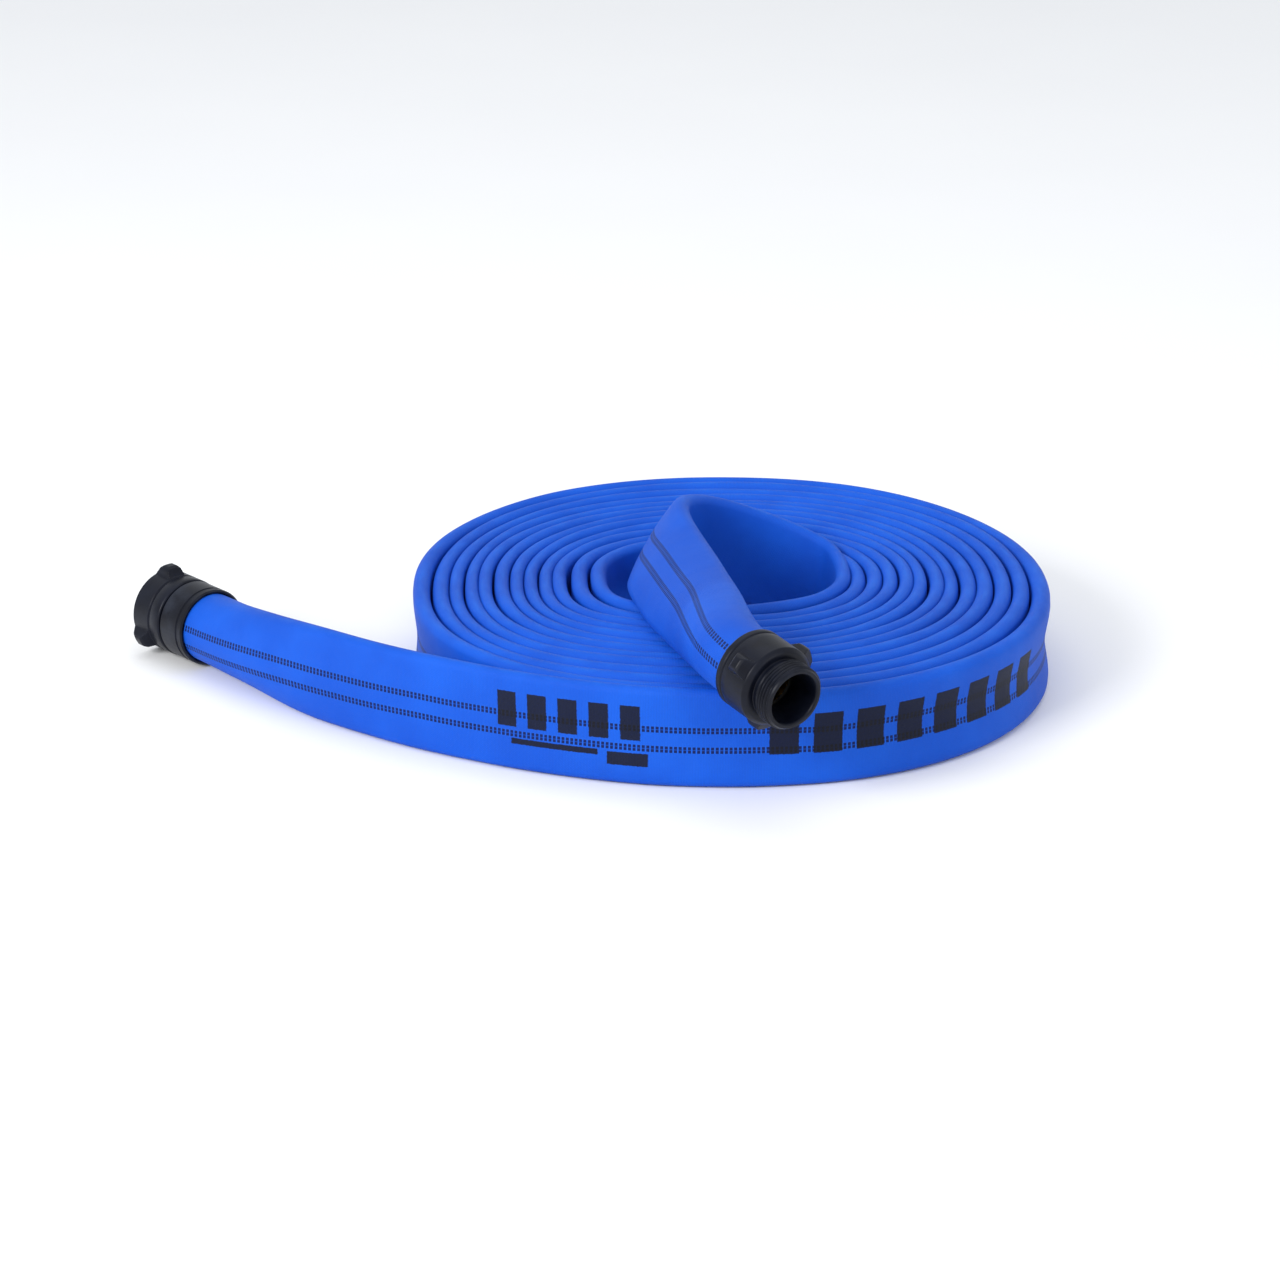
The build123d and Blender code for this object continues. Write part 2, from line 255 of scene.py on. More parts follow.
# ---------------------------------------------------------------- node helpers
class Nodes:
    def __init__(self, name):
        self.mat = bpy.data.materials.new(name)
        self.mat.use_nodes = True
        self.t = self.mat.node_tree
        self.t.nodes.clear()
        self.out = self.t.nodes.new("ShaderNodeOutputMaterial")
        self.bsdf = self.t.nodes.new("ShaderNodeBsdfPrincipled")
        self.t.links.new(self.bsdf.outputs[0], self.out.inputs[0])

    def link(self, a, b):
        if isinstance(a, (int, float)):
            b.default_value = a
        elif isinstance(a, (tuple, list)):
            b.default_value = tuple(a) + (1.0,) * (4 - len(a)) if len(b.default_value) == 4 else tuple(a)
        else:
            self.t.links.new(a, b)

    def math(self, op, a, b=0.0, c=0.0, clamp=False):
        n = self.t.nodes.new("ShaderNodeMath"); n.operation = op; n.use_clamp = clamp
        self.link(a, n.inputs[0]); self.link(b, n.inputs[1])
        if op in ("MULTIPLY_ADD", "COMPARE", "SMOOTH_MIN", "SMOOTH_MAX", "WRAP"):
            self.link(c, n.inputs[2])
        return n.outputs[0]

    def ramp(self, x, lo, hi, to_lo=0.0, to_hi=1.0):
        n = self.t.nodes.new("ShaderNodeMapRange"); n.interpolation_type = "SMOOTHSTEP"
        self.link(x, n.inputs[0])
        n.inputs[1].default_value, n.inputs[2].default_value = lo, hi
        n.inputs[3].default_value, n.inputs[4].default_value = to_lo, to_hi
        return n.outputs[0]

    def box(self, x, lo, hi, soft):
        return self.math("MULTIPLY", self.ramp(x, lo - soft, lo + soft), self.ramp(x, hi - soft, hi + soft, 1.0, 0.0))

    def mix(self, f, a, b, kind="MIX"):
        n = self.t.nodes.new("ShaderNodeMix"); n.data_type = "RGBA"; n.blend_type = kind
        self.link(f, n.inputs["Factor"])
        for value, socket in ((a, n.inputs[6]), (b, n.inputs[7])):
            self.link(value, socket)
        return n.outputs[2]

    def noise(self, vector, scale, detail=3.0, rough=0.5):
        n = self.t.nodes.new("ShaderNodeTexNoise")
        n.inputs["Scale"].default_value = scale
        n.inputs["Detail"].default_value = detail
        n.inputs["Roughness"].default_value = rough
        if vector is not None:
            self.link(vector, n.inputs["Vector"])
        return n.outputs["Fac"]

    def position(self):
        n = self.t.nodes.new("ShaderNodeTexCoord")
        return n.outputs["Object"]

    def combine(self, x, y, z=0.0):
        n = self.t.nodes.new("ShaderNodeCombineXYZ")
        self.link(x, n.inputs[0]); self.link(y, n.inputs[1]); self.link(z, n.inputs[2])
        return n.outputs[0]

    def bump(self, height, distance, strength=1.0, under=None):
        n = self.t.nodes.new("ShaderNodeBump")
        n.inputs["Strength"].default_value = strength
        n.inputs["Distance"].default_value = distance
        self.link(height, n.inputs["Height"])
        if under is not None:
            self.link(under, n.inputs["Normal"])
        return n.outputs[0]

    def set(self, **sockets):
        for name, value in sockets.items():
            self.link(value, self.bsdf.inputs[name.replace("_", " ")])


# ---------------------------------------------------------------- materials
BLUE = (0.0040, 0.105, 0.66)
BLUE_DEEP = (0.0020, 0.080, 0.56)
BLUE_WORN = (0.012, 0.160, 0.74)
THREAD_BLUE = (0.0006, 0.006, 0.070)


def woven_jacket():
    n = Nodes("woven_outer_jacket")
    uv = n.t.nodes.new("ShaderNodeUVMap"); uv.uv_map = "hose"
    sep = n.t.nodes.new("ShaderNodeSeparateXYZ"); n.link(uv.outputs[0], sep.inputs[0])
    s = n.math("MULTIPLY", sep.outputs[0], 1000.0)
    v = n.math("MULTIPLY", sep.outputs[1], 1000.0)
    pos = n.position()

    # plain weave: warp cords along the hose over and under the weft that winds round it
    warp = n.math("SINE", n.math("MULTIPLY", v, 2 * math.pi / 1.9))
    weft = n.math("SINE", n.math("MULTIPLY", s, 2 * math.pi / 2.3))
    crown_warp = n.math("ABSOLUTE", warp)
    crown_weft = n.math("ABSOLUTE", weft)
    over = n.math("MULTIPLY", n.math("SIGN", warp), n.math("SIGN", weft))
    over = n.math("MULTIPLY_ADD", over, 0.5, 0.5)
    weave = n.math("ADD", n.math("MULTIPLY", n.math("MULTIPLY", crown_warp, crown_weft), n.math("MULTIPLY_ADD", over, 0.45, 0.55)),
                   n.math("MULTIPLY", crown_weft, 0.18))
    fibre = n.noise(n.combine(n.math("MULTIPLY", s, 0.9), n.math("MULTIPLY", v, 3.6)), 1.0, 2.0)

    # stripes woven in along one face: two rows of short dark threads each
    dash = n.math("PINGPONG", s, 1.7)
    dashes = n.ramp(dash, 0.42, 0.72)
    wander = n.math("MULTIPLY_ADD", n.noise(n.combine(n.math("MULTIPLY", s, 0.011), 3.0), 1.0, 1.0), 1.6, -0.8)
    vv = n.math("ADD", v, wander)
    rows = None
    for centre in (36.0, 51.5):
        d = n.math("ABSOLUTE", n.math("SUBTRACT", vv, centre))
        row = n.box(d, 0.15, 2.45, 0.25)
        rows = row if rows is None else n.math("MAXIMUM", rows, row)
    stripe = n.math("MULTIPLY", rows, dashes)
    lane = None
    for centre in (36.0, 51.5):
        d = n.math("ABSOLUTE", n.math("SUBTRACT", vv, centre))
        band = n.ramp(d, 2.4, 3.2, 1.0, 0.0)
        lane = band if lane is None else n.math("MAXIMUM", lane, band)

    # plain printed bars, slightly worn
    ragged = n.math("MULTIPLY_ADD", n.noise(n.combine(n.math("MULTIPLY", s, 0.55), n.math("MULTIPLY", v, 0.55)), 1.0, 3.0), 1.3, -0.65)
    sr, vr = n.math("ADD", s, ragged), n.math("ADD", v, ragged)
    cell = n.math("MODULO", n.math("SUBTRACT", sr, 22.0), 33.0)
    blocks = n.math("MULTIPLY", n.box(cell, 1.0, 23.0, 0.3), n.box(sr, 22.0, 283.0, 0.3))
    blocks = n.math("MULTIPLY", blocks, n.box(vr, 22.0, 55.0, 0.3))
    small = n.math("MODULO", n.math("ADD", sr, 400.0), 24.0)
    low = n.math("MULTIPLY", n.box(small, 1.0, 16.0, 0.3), n.box(sr, -184.0, -65.0, 0.3))
    low = n.math("MULTIPLY", low, n.box(vr, 18.0, 46.0, 0.3))
    line = n.math("MULTIPLY", n.box(sr, -172.0, -104.0, 0.3), n.box(vr, 55.0, 59.5, 0.3))
    bar = n.math("MULTIPLY", n.box(sr, -97.0, -66.0, 0.3), n.box(vr, 56.0, 66.0, 0.3))
    ink = n.math("MAXIMUM", n.math("MAXIMUM", blocks, low), n.math("MAXIMUM", line, bar))
    ink = n.math("MULTIPLY", ink, n.ramp(n.noise(n.combine(n.math("MULTIPLY", s, 1.7), n.math("MULTIPLY", v, 1.7)), 1.0, 4.0), 0.20, 0.34, 0.82, 1.0))

    # rubbed edges, and slow changes of tone
    edge = n.math("ABSOLUTE", n.math("SUBTRACT", n.math("PINGPONG", v, 85.0), 42.5))
    edge = n.ramp(edge, 36.0, 42.5)
    rub = n.math("MULTIPLY", edge, n.ramp(n.noise(n.combine(n.math("MULTIPLY", s, 0.045), n.math("MULTIPLY", v, 0.12)), 1.0, 4.0), 0.38, 0.72))
    tone = n.ramp(n.noise(pos, 14.0, 4.0), 0.3, 0.72)
    colour = n.mix(tone, BLUE_DEEP, BLUE)
    colour = n.mix(n.math("MULTIPLY", rub, 0.42), colour, BLUE_WORN)
    # painted shade: the colour is darkened in the weave's low places between the yarns; the fibre noise on top of it
    # is a real change of tone
    valley = n.ramp(weave, 0.05, 0.6, 0.80, 1.0)
    painted_valley_shade_and_fibre_tone = n.math("MULTIPLY", valley, n.ramp(fibre, 0.2, 0.8, 0.93, 1.04))
    grey = n.combine(painted_valley_shade_and_fibre_tone, painted_valley_shade_and_fibre_tone, painted_valley_shade_and_fibre_tone)
    colour = n.mix(1.0, colour, grey, "MULTIPLY")
    colour = n.mix(n.math("MULTIPLY", lane, 0.16), colour, BLUE_WORN)
    colour = n.mix(n.math("MULTIPLY", stripe, 0.97), colour, THREAD_BLUE)
    colour = n.mix(n.math("MULTIPLY", ink, 0.96), colour, (0.0025, 0.0028, 0.0055))
    n.set(Base_Color=colour)
    rough = n.math("MULTIPLY_ADD", fibre, 0.14, 0.50)
    rough = n.math("MULTIPLY_ADD", ink, -0.08, rough)
    n.set(Roughness=rough, Sheen_Weight=0.02, Sheen_Roughness=0.45, Specular_IOR_Level=0.18)
    n.bsdf.inputs["Sheen Tint"].default_value = (0.55, 0.75, 1.0, 1.0)
    height = n.math("ADD", weave, n.math("MULTIPLY", fibre, 0.22))
    height = n.math("MULTIPLY_ADD", stripe, 0.55, height)
    first = n.bump(height, 0.00022, 0.75)
    slow = n.noise(n.combine(n.math("MULTIPLY", s, 0.05), n.math("MULTIPLY", v, 0.035)), 1.0, 2.0)
    n.link(n.bump(slow, 0.0022, 0.35, first), n.bsdf.inputs["Normal"])
    return n.mat


def liner_rubber():
    n = Nodes("liner_rubber_black")
    pos = n.position()
    a = n.noise(pos, 90.0, 4.0)
    n.set(Base_Color=n.mix(n.ramp(a, 0.3, 0.7), (0.010, 0.010, 0.011), (0.026, 0.026, 0.028)),
          Roughness=n.math("MULTIPLY_ADD", a, 0.2, 0.42), Specular_IOR_Level=0.4)
    n.link(n.bump(n.noise(pos, 700.0, 3.0), 0.00012, 0.5), n.bsdf.inputs["Normal"])
    return n.mat


def gasket_rubber():
    n = Nodes("gasket_rubber_grey")
    pos = n.position()
    a = n.noise(pos, 140.0, 4.0)
    n.set(Base_Color=n.mix(n.ramp(a, 0.3, 0.7), (0.016, 0.016, 0.017), (0.040, 0.039, 0.038)),
          Roughness=n.math("MULTIPLY_ADD", a, 0.2, 0.55), Specular_IOR_Level=0.35)
    n.link(n.bump(a, 0.00010, 0.5), n.bsdf.inputs["Normal"])
    return n.mat


def inner_weave():
    n = Nodes("woven_inner_jacket")
    pos = n.position()
    a = n.noise(pos, 900.0, 3.0)
    n.set(Base_Color=n.mix(n.ramp(a, 0.3, 0.7), (0.48, 0.46, 0.40), (0.70, 0.68, 0.60)), Roughness=0.8, Sheen_Weight=0.2)
    n.link(n.bump(a, 0.0002, 0.6), n.bsdf.inputs["Normal"])
    return n.mat


def anodised():
    """hard-anodised forging: near black with a blue cast, turned rings, rubbed corners"""
    n = Nodes("hard_anodised_black")
    pos = n.position()
    geo = n.t.nodes.new("ShaderNodeNewGeometry")
    point = geo.outputs["Pointiness"]
    cloud = n.noise(pos, 55.0, 5.0, 0.6)
    grain = n.noise(pos, 1400.0, 2.0)
    corner = n.ramp(point, 0.515, 0.60)
    worn = n.math("MULTIPLY", corner, n.ramp(cloud, 0.36, 0.66))
    scuff = n.ramp(n.noise(pos, 210.0, 6.0, 0.7), 0.66, 0.76)
    colour = n.mix(n.ramp(cloud, 0.3, 0.7), (0.0022, 0.0030, 0.0075), (0.0050, 0.0068, 0.0150))
    colour = n.mix(n.math("MULTIPLY", worn, 0.30), colour, (0.055, 0.065, 0.090))
    colour = n.mix(n.math("MULTIPLY", scuff, 0.16), colour, (0.060, 0.070, 0.095))
    rough = n.math("MULTIPLY_ADD", cloud, 0.20, 0.28)
    rough = n.math("MULTIPLY_ADD", scuff, 0.12, rough)
    n.set(Base_Color=colour, Roughness=rough, Metallic=0.10, Specular_IOR_Level=0.20)
    first = n.bump(grain, 0.00006, 0.5)
    n.link(n.bump(cloud, 0.0004, 0.25, first), n.bsdf.inputs["Normal"])
    return n.mat


def metal(name, dark, light, rough):
    n = Nodes(name)
    pos = n.position()
    a = n.noise(pos, 120.0, 5.0, 0.6)
    n.set(Base_Color=n.mix(n.ramp(a, 0.3, 0.7), dark, light), Metallic=1.0,
          Roughness=n.math("MULTIPLY_ADD", a, 0.18, rough))
    n.link(n.bump(n.noise(pos, 1800.0, 2.0), 0.00004, 0.5), n.bsdf.inputs["Normal"])
    return n.mat


JACKET = woven_jacket()
LINER = liner_rubber()
GASKET = gasket_rubber()
BLACK = anodised()
BRASS = metal("drawn_brass", (0.42, 0.27, 0.08), (0.74, 0.53, 0.22), 0.26)
STEEL = metal("polished_steel", (0.48, 0.49, 0.51), (0.72, 0.73, 0.75), 0.14)
PLUG = metal("plain_steel", (0.22, 0.23, 0.25), (0.42, 0.43, 0.45), 0.34)


# ---------------------------------------------------------------- free ends
def tail(name, route, toward_female):
    centre, width, round_, hollow = spline_of(name, route)
    steps = np.linalg.norm(np.diff(centre, axis=0), axis=1)
    keep = np.concatenate([[True], steps > 0.3])
    centre, width, round_, hollow = centre[keep], width[keep], round_[keep], hollow[keep]
    dist = np.concatenate([[0], np.cumsum(np.linalg.norm(np.diff(centre, axis=0), axis=1))])
    tangent = unit(np.gradient(centre, dist, axis=0))
    tangent[0] = unit(np.array(route[1][:3], float) - np.array(route[0][:3], float))
    w = unit(width - (width * tangent).sum(1)[:, None] * tangent)
    face = np.cross(w, tangent) if toward_female else np.cross(tangent, w)
    rings, inner = [], []
    for p, ww, nn, k, h, d in zip(centre, w, face, round_, hollow, dist):
        shape = section(k, hollow=h)
        # soft dents where the hose is neither flat nor round
        loose = 4 * k * (1 - k) if k > 0.03 else 0.0
        th = 2 * math.pi * SHARE
        dent = loose * (0.9 * np.sin(2 * th + d / 31.0) * math.sin(d / 47.0) + 0.5 * np.sin(3 * th - d / 23.0))
        shape = shape * (1 - dent / 60.0)[:, None]
        rings.append(p + shape[:, :1] * ww + shape[:, 1:] * nn)
        small = section(k, hollow=h, inset=4.7)
        inner.append(p + small[:, :1] * ww + small[:, 1:] * nn)
    s = -dist if toward_female else dist
    return centre, dist, np.array(rings), np.array(inner), s


out_c, out_d, out_rings, out_inner, out_s = tail("outer_route", OUTER_ROUTE, True)
in_c, in_d, in_rings, in_inner, in_s = tail("inner_route", INNER_ROUTE, False)
print("free ends, mm:", round(float(out_d[-1]), 1), round(float(in_d[-1]), 1))

# ---------------------------------------------------------------- the roll: one flat hose wound 12 1/4 times
TURNS = 12.25
RIGHT = [242.8, 227.5, 213.2, 199.7, 186.2, 173.5, 161.6, 149.2, 137.8, 125.9, 113.2, 100.2, 88.6]
LEFT = [-244.3, -230.3, -217.0, -205.7, -194.6, -182.1, -170.2, -159.1, -147.6, -136.1, -121.3, -105.1]
FRONT = [-244.5, -230.8, -215.0, -199.6, -183.6, -168.8, -155.0, -141.2, -128.2, -115.6, -103.6, -90.0, -66.0]
BACK_AT, BACK = [0.0, 0.5, 12.5], [246.0, 244.0, 70.0]
MID_X = ([0, 0.3, 12.25], [0.0, -4.2, -6.0])
MID_Y = ([0, 1, 6, 9, 12.25], [0.5, 2.0, 8.0, 12.0, 17.0])


def soft(t, xs, ys):
    """smooth interpolation through the points"""
    xs, ys = np.asarray(xs, float), np.asarray(ys, float)
    slopes = np.diff(ys) / np.diff(xs)
    m = np.concatenate([[slopes[0]], (slopes[1:] + slopes[:-1]) / 2, [slopes[-1]]])
    i = np.clip(np.searchsorted(xs, t, side="right") - 1, 0, len(xs) - 2)
    h = xs[i + 1] - xs[i]
    u = np.clip((t - xs[i]) / h, 0, 1)
    return ((2 * u**3 - 3 * u**2 + 1) * ys[i] + (u**3 - 2 * u**2 + u) * h * m[i]
            + (-2 * u**3 + 3 * u**2) * ys[i + 1] + (u**3 - u**2) * h * m[i + 1])


def roll_centre(t):
    t = np.asarray(t, float)
    ph = np.radians(-90 + 360 * t)
    s, c = np.sin(ph), np.cos(ph)
    mx, my = np.interp(t, *MID_X), soft(t, *MID_Y)
    tr, tl = np.arange(13) + 0.25, np.arange(12) + 0.75
    ar = np.array(RIGHT) - np.interp(tr, *MID_X)
    al = np.interp(tl, *MID_X) - np.array(LEFT)
    bf = soft(np.arange(13.0), *MID_Y) - np.array(FRONT)
    a_r = soft(t, np.r_[-0.75, tr], np.r_[ar[0] + 13, ar])
    a_l = soft(t, np.r_[-0.25, tl, 12.75], np.r_[al[0] + 12, al, al[-1] - 14])
    w = 0.5 + 0.5 * np.sin(np.clip(c * 2.5, -1, 1) * np.pi / 2)
    a = w * a_r + (1 - w) * a_l
    wf = 0.5 - 0.5 * np.sin(np.clip(s * 2.5, -1, 1) * np.pi / 2)
    b = wf * soft(t, np.r_[np.arange(13.0), 13.0], np.r_[bf, bf[-1] - 20]) + (1 - wf) * np.interp(t, BACK_AT, BACK)
    n = np.where((s < 0) & (c < 0), 2.35 + 0.65 * t / 12, 2.12)
    k = (np.abs(c) ** n + np.abs(s) ** n) ** (-1 / n)
    return np.stack([mx + a * c * k, my + b * s * k], -1)


STEP = 6.0
fine_t = np.linspace(0, TURNS, 12000)
fine_p = roll_centre(fine_t)
fine_s = np.concatenate([[0], np.cumsum(np.linalg.norm(np.diff(fine_p, axis=0), axis=1))])
roll_length = float(fine_s[-1])
stops = int(roll_length / STEP)
roll_s = np.linspace(0, roll_length, stops + 1)
roll_t = np.interp(roll_s, fine_s, fine_t)
roll_p = roll_centre(roll_t)
# distance to the neighbouring turns on the same ray
gap_out = np.full(len(roll_t), 40.0)
gap_in = np.full(len(roll_t), 40.0)
near = roll_t >= 1
gap_out[near] = np.linalg.norm(roll_centre(roll_t[near] - 1) - roll_p[near], axis=1)
near = roll_t <= TURNS - 1
gap_in[near] = np.linalg.norm(roll_centre(roll_t[near] + 1) - roll_p[near], axis=1)
print("roll length, mm:", round(roll_length), "turn spacing", round(float(gap_in.min()), 1), round(float(gap_in[roll_t < TURNS - 1].max()), 1))
angle = np.radians(-90 + 360 * roll_t)
front = np.clip(-np.sin(angle), 0, 1)
cap = 12.6 + 4.4 * front * np.clip((12.4 - roll_t) / 3.0, 0.3, 1)
cap = np.where(roll_t < 0.9, 12.0 + 3.5 * np.clip(roll_t / 0.2, 0, 1), cap)
room = np.minimum(gap_out, gap_in)
# the turns are wound at an angle to their own ray, so a little of the room goes there
thick = np.clip(np.minimum(room * 0.985 - 0.30, cap), 8.0, 17.0)
thick[: 1] = THICK
ramp_in = np.clip(roll_s / 120.0, 0, 1)
ramp_in = ramp_in * ramp_in * (3 - 2 * ramp_in)
thick = THICK * (1 - ramp_in) + thick * ramp_in
ramp_out = np.clip((roll_length - roll_s) / 90.0, 0, 1)
thick = THICK * (1 - ramp_out) + thick * ramp_out
kernel = np.ones(9) / 9
thick = np.convolve(np.r_[np.full(4, thick[0]), thick, np.full(4, thick[-1])], kernel, "valid")
tang = unit(np.gradient(np.c_[roll_p, np.zeros(len(roll_p))], roll_s, axis=0))
tang[0] = (1, 0, 0)
tang[-1] = (0, 1, 0)
up = np.array([0.0, 0.0, 1.0])
rings = []
for i in range(len(roll_t)):
    t = roll_t[i]
    settle = min(1.0, roll_s[i] / 60.0) * min(1.0, (roll_length - roll_s[i]) / 60.0)
    tall = WIDTH - settle * (0.9 + 0.7 * math.sin(7.3 * t + 0.6) + 0.5 * math.sin(17.9 * t + 2.0) + 0.35 * math.sin(41.0 * t))
    tall = min(tall, WIDTH)
    open_ = max(0.0, 1.0 - max(t - 0.86, 0.0) / 0.14) if t > 0.86 else 1.0
    side = 0.55 + 0.45 * math.cos(2 * math.pi * (t - 0.27))
    dip = open_ * (2.6 + min(1.0, roll_s[i] / 150.0) * (1.6 * side + 0.5 * math.sin(23.0 * t)))
    shape = section(0.0, w=tall, t=float(thick[i]), hollow=dip)
    lean = settle * 0.7 * math.sin(9.1 * t + 1.3)
    face = np.cross(tang[i], up)
    low = tall / 2 + 0.3 * (1 - settle) + 0.3 * settle
    z0 = 39.3 * (1 - settle) + (tall / 2 + 0.3) * settle
    p = np.array([roll_p[i][0], roll_p[i][1], z0])
    rings.append(p + shape[:, :1] * up + (shape[:, 1:] + lean * shape[:, :1] / 39.0) * face)
rings = np.array(rings)

roll = ring_mesh("wound_turns", rings, roll_s, [JACKET])
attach(roll, "hose"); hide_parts("hose_roll")

outer_tail = ring_mesh("outer_free_end", out_rings, out_s, [JACKET, LINER], inner=out_inner, inner_material=1)
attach(outer_tail, "hose")
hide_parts("outer_end_outer_jacket", "outer_end_inner_jacket", "outer_end_liner")
inner_tail = ring_mesh("inner_free_end", in_rings, in_s + roll_length, [JACKET, LINER], inner=in_inner, inner_material=1)
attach(inner_tail, "hose")
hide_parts("inner_end_outer_jacket", "inner_end_inner_jacket", "inner_end_liner")

# ---------------------------------------------------------------- couplings
FEMALE_AT, FEMALE_AXIS, FEMALE_SIDE = (-412.7, 8.0, 31.8), (-0.662, 0.75, 0.0), (-0.75, -0.662, 0.0)
MALE_AT, MALE_AXIS, MALE_SIDE = (7.0, -280.2, 108.8), (0.57, -0.81, -0.14), (0.81, 0.57, 0.0)
PITCH = 25.4 / 9
THREAD_DEEP = 1.6
TIP_R = 38.5


def lug_height(s, theta, r, low, high, first, seat):
    """height of the rocker lugs over their seat"""
    mid = (low + high) / 2
    e = abs(s - mid)
    half = (high - low) / 2
    top = TIP_R - seat
    along_s = np.interp(e, [0, 3.0, half - 3.2, half - 0.2, half + 0.6], [top, top, top - 1.6, 1.2, -0.4])
    best = np.full_like(theta, -1.0)
    for i in range(3):
        d = (theta - math.radians(first + 120 * i) + math.pi) % (2 * math.pi) - math.pi
        arc = np.abs(d) * (seat + 4.0)
        across = np.interp(arc, [0, 3.4, 4.1, 6.1, 8.2, 9.0, 10.2], [top + 0.1, top, top - 0.35, top - 1.9, 1.0, 0.2, -0.6])
        best = np.maximum(best, across)
    a = np.minimum(best, along_s)
    return np.maximum(a, 0.0)


def lathe(name, loop, at, axis, side, divisions=288, lugs=None, thread=None):
    """a closed turned piece from (s, r) points, with lugs and a helical thread on its surface"""
    theta = np.arange(divisions) / divisions * 2 * math.pi
    rows = []
    for s, r, kind in loop:
        radius = np.full(divisions, float(r))
        place = np.full(divisions, float(s))
        if kind == "lug":
            radius += lug_height(s, theta, r, *lugs)
        elif kind in ("out", "in"):
            t0, t1 = thread
            phase = (s - t0) / PITCH - theta / (2 * math.pi)
            f = phase - np.floor(phase)
            tri = 1 - np.abs(2 * f - 1)                      # 0 in the valley, 1 at the crest
            form = np.clip((tri - 0.10) / 0.74, 0, 1)
            fade = np.clip(np.minimum((s - t0) / 1.2 - 0.1, (t1 - s) / 1.6), 0, 1)
            if kind == "out":
                radius -= THREAD_DEEP * (1 - form * fade)
            else:
                radius -= THREAD_DEEP * form * fade
        rows.append((place, radius))
    n_rows = len(rows)
    a, b = unit(np.array(axis, float)), unit(np.array(side, float))
    c = np.cross(a, b)
    pts = []
    for place, radius in rows:
        pts.append(np.array(at) + place[:, None] * a + (radius * np.cos(theta))[:, None] * b + (radius * np.sin(theta))[:, None] * c)
    verts = to_row(np.concatenate(pts))
    faces = []
    for i in range(n_rows):
        k = (i + 1) % n_rows
        for j in range(divisions):
            m = (j + 1) % divisions
            faces.append([i * divisions + j, i * divisions + m, k * divisions + m, k * divisions + j])
    mesh = bpy.data.meshes.new(name)
    mesh.from_pydata(verts.tolist(), [], faces)
    mesh.materials.append(BLACK)
    bm = bmesh.new(); bm.from_mesh(mesh)
    bmesh.ops.recalc_face_normals(bm, faces=bm.faces)
    for f in bm.faces:
        f.smooth = True
    for e in bm.edges:
        if len(e.link_faces) == 2 and e.link_faces[0].normal.angle(e.link_faces[1].normal, 0) > math.radians(32):
            e.smooth = False
    bm.to_mesh(mesh); bm.free()
    obj = bpy.data.objects.new(name, mesh)
    scene.collection.objects.link(obj)
    return obj


def span(low, high, step, r_low, r_high, kind):
    count = max(1, int(round((high - low) / step)))
    sign = 1
    return [(low + (high - low) * i / count, r_low + (r_high - r_low) * i / count, kind) for i in range(count + 1)]


def bowl_inside(far):
    """from the far end of the waterway back to the rear rim"""
    pts = [(far - 1.0, 19.5, ""), (27.0, 19.5, ""), (26.0, 20.1, ""), (26.0, 27.2, ""), (25.4, 27.85, "")]
    for s in (17.0, 13.0, 9.0, 5.0):
        pts += [(s + 1.4, 27.85, ""), (s + 0.7, 28.5, ""), (s, 27.85, "")]
    pts += [(0.9, 27.85, ""), (0.0, 28.75, "")]
    return pts


male_outer = [(0.0, 29.4, ""), (0.25, 30.1, ""), (0.75, 30.7, ""), (1.4, 31.0, ""), (5.0, 31.0, ""), (5.6, 30.75, ""),
              (6.0, 30.25, ""), (7.2, 30.25, ""), (7.6, 30.75, ""), (8.2, 31.0, "")]
male_outer += span(12.6, 32.4, 0.45, 31.0, 31.0, "lug")
male_outer += [(32.8, 30.85, ""), (33.4, 30.4, ""), (35.4, 28.7, ""), (35.9, 28.1, ""), (36.2, 27.2, ""), (36.3, 23.6, ""),
               (36.8, 23.2, ""), (39.4, 23.2, ""), (39.8, 23.5, "")]
male_outer += span(40.0, 54.6, 0.26, 25.27, 25.27, "out")
male_outer += [(55.0, 23.55, ""), (55.9, 22.9, ""), (56.0, 22.5, ""), (56.0, 21.0, ""), (55.6, 20.4, ""), (54.4, 19.7, "")]
male = lathe("male_coupling", male_outer + bowl_inside(54.6), MALE_AT, MALE_AXIS, MALE_SIDE,
             lugs=(14.0, 31.0, 25.0, 31.0), thread=(40.0, 54.6))
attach(male, "hose"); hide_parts("male_coupling_body")

nut_outer = [(30.0, 29.9, ""), (30.3, 30.7, ""), (30.9, 31.3, ""), (31.6, 31.5, ""), (41.2, 31.5, ""), (41.7, 31.25, ""),
             (42.1, 30.7, ""), (43.7, 30.7, ""), (44.1, 31.25, ""), (44.5, 31.5, "")]
nut_outer += span(44.8, 63.2, 0.45, 31.5, 31.5, "lug")
nut_outer += [(63.5, 31.2, ""), (63.9, 30.6, ""), (64.0, 30.0, ""), (64.0, 27.3, ""), (63.8, 26.9, ""), (63.2, 26.2, "")]
nut_outer += [(s, r, "in") for s, r, _ in reversed(span(47.2, 62.9, 0.26, 25.46, 25.46, ""))]
nut_outer += [(46.9, 25.6, ""), (46.4, 26.2, ""), (43.8, 26.2, ""), (43.8, 27.08, ""), (40.0, 27.08, "")]
for k in range(9):
    ang = math.radians(20 + 140 * k / 8)
    nut_outer.append((37.6 + 2.08 * math.cos(ang), 27.04 + 2.08 * math.sin(ang), ""))
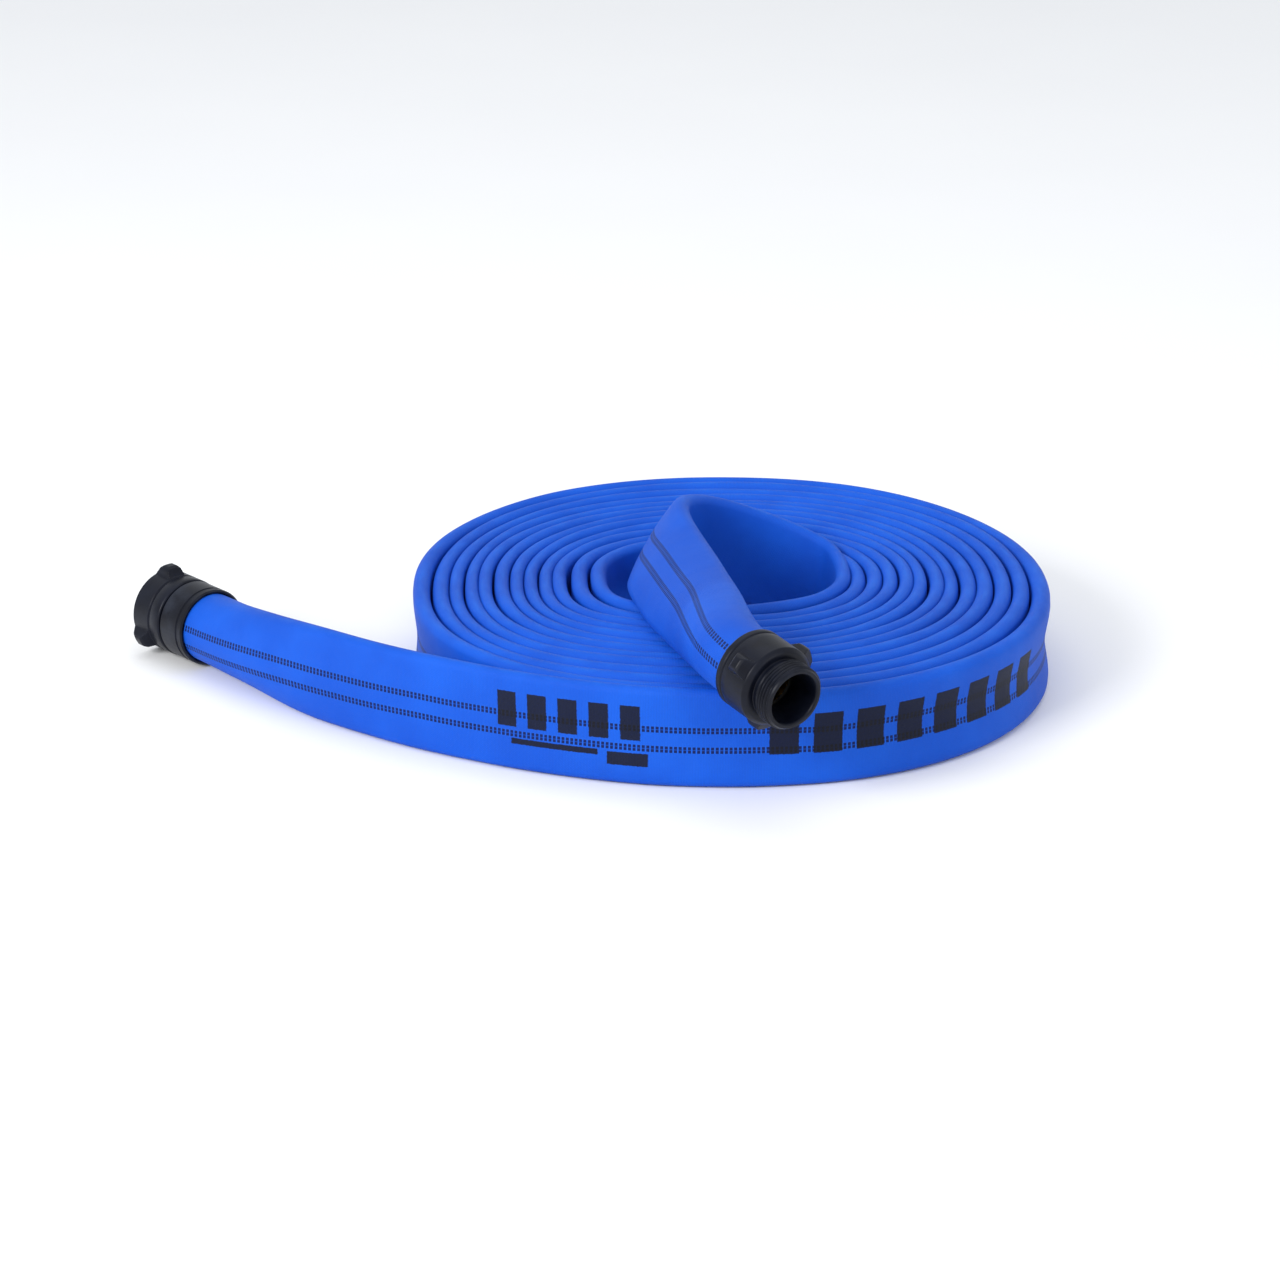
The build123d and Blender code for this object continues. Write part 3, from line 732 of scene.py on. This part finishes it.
nut_outer += [(35.2, 27.08, ""), (30.8, 27.08, ""), (30.1, 27.8, "")]
nut = lathe("swivel_shell", nut_outer, FEMALE_AT, FEMALE_AXIS, FEMALE_SIDE,
            lugs=(46.0, 63.0, 90.0, 31.5), thread=(47.0, 63.0))
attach(nut, "swivel"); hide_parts("swivel_nut")

# ---------------------------------------------------------------- CAD nodes that stay
for node, material in (("female_bowl", BLACK), ("ball_race_plug", PLUG), ("swivel_balls", STEEL),
                       ("male_expansion_ring", BRASS), ("female_expansion_ring", BRASS),
                       ("male_tail_gasket", GASKET), ("female_tail_gasket", GASKET), ("swivel_gasket", GASKET)):
    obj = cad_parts[node]
    if not obj.material_slots:
        obj.data.materials.append(material)
    for slot_ in obj.material_slots:
        slot_.material = material

# ---------------------------------------------------------------- floor and light
bpy.ops.mesh.primitive_plane_add(size=14.0, location=(0, 0, -0.0004))
floor = bpy.context.object
floor.name = "floor"
n = Nodes("floor_pale")
a = n.noise(n.position(), 3.0, 2.0)
n.set(Base_Color=n.mix(a, (0.90, 0.90, 0.905), (0.93, 0.93, 0.93)), Roughness=0.75, Specular_IOR_Level=0.15)
floor.data.materials.append(n.mat)

world = bpy.data.worlds.new("studio")
scene.world = world
world.use_nodes = True
world.node_tree.nodes["Background"].inputs[0].default_value = (0.93, 0.96, 1.0, 1.0)
world.node_tree.nodes["Background"].inputs[1].default_value = 0.80


def area(name, where, aim, size, watts, colour=(1, 1, 1)):
    data = bpy.data.lights.new(name, "AREA")
    data.shape = "RECTANGLE"
    data.size, data.size_y = size
    data.energy = watts
    data.color = colour
    obj = bpy.data.objects.new(name, data)
    scene.collection.objects.link(obj)
    obj.location = where
    obj.rotation_euler = (Vector(aim) - Vector(where)).to_track_quat("-Z", "Y").to_euler()
    return obj


area("key", (-2.2, -2.4, 1.9), (-0.1, 0.0, 0.03), (1.6, 1.2), 100)
area("fill", (2.2, -2.2, 1.6), (0.1, 0.0, 0.03), (2.2, 1.6), 18)
area("top", (0.1, 0.6, 2.6), (0.0, 0.1, 0.0), (2.4, 2.0), 12)
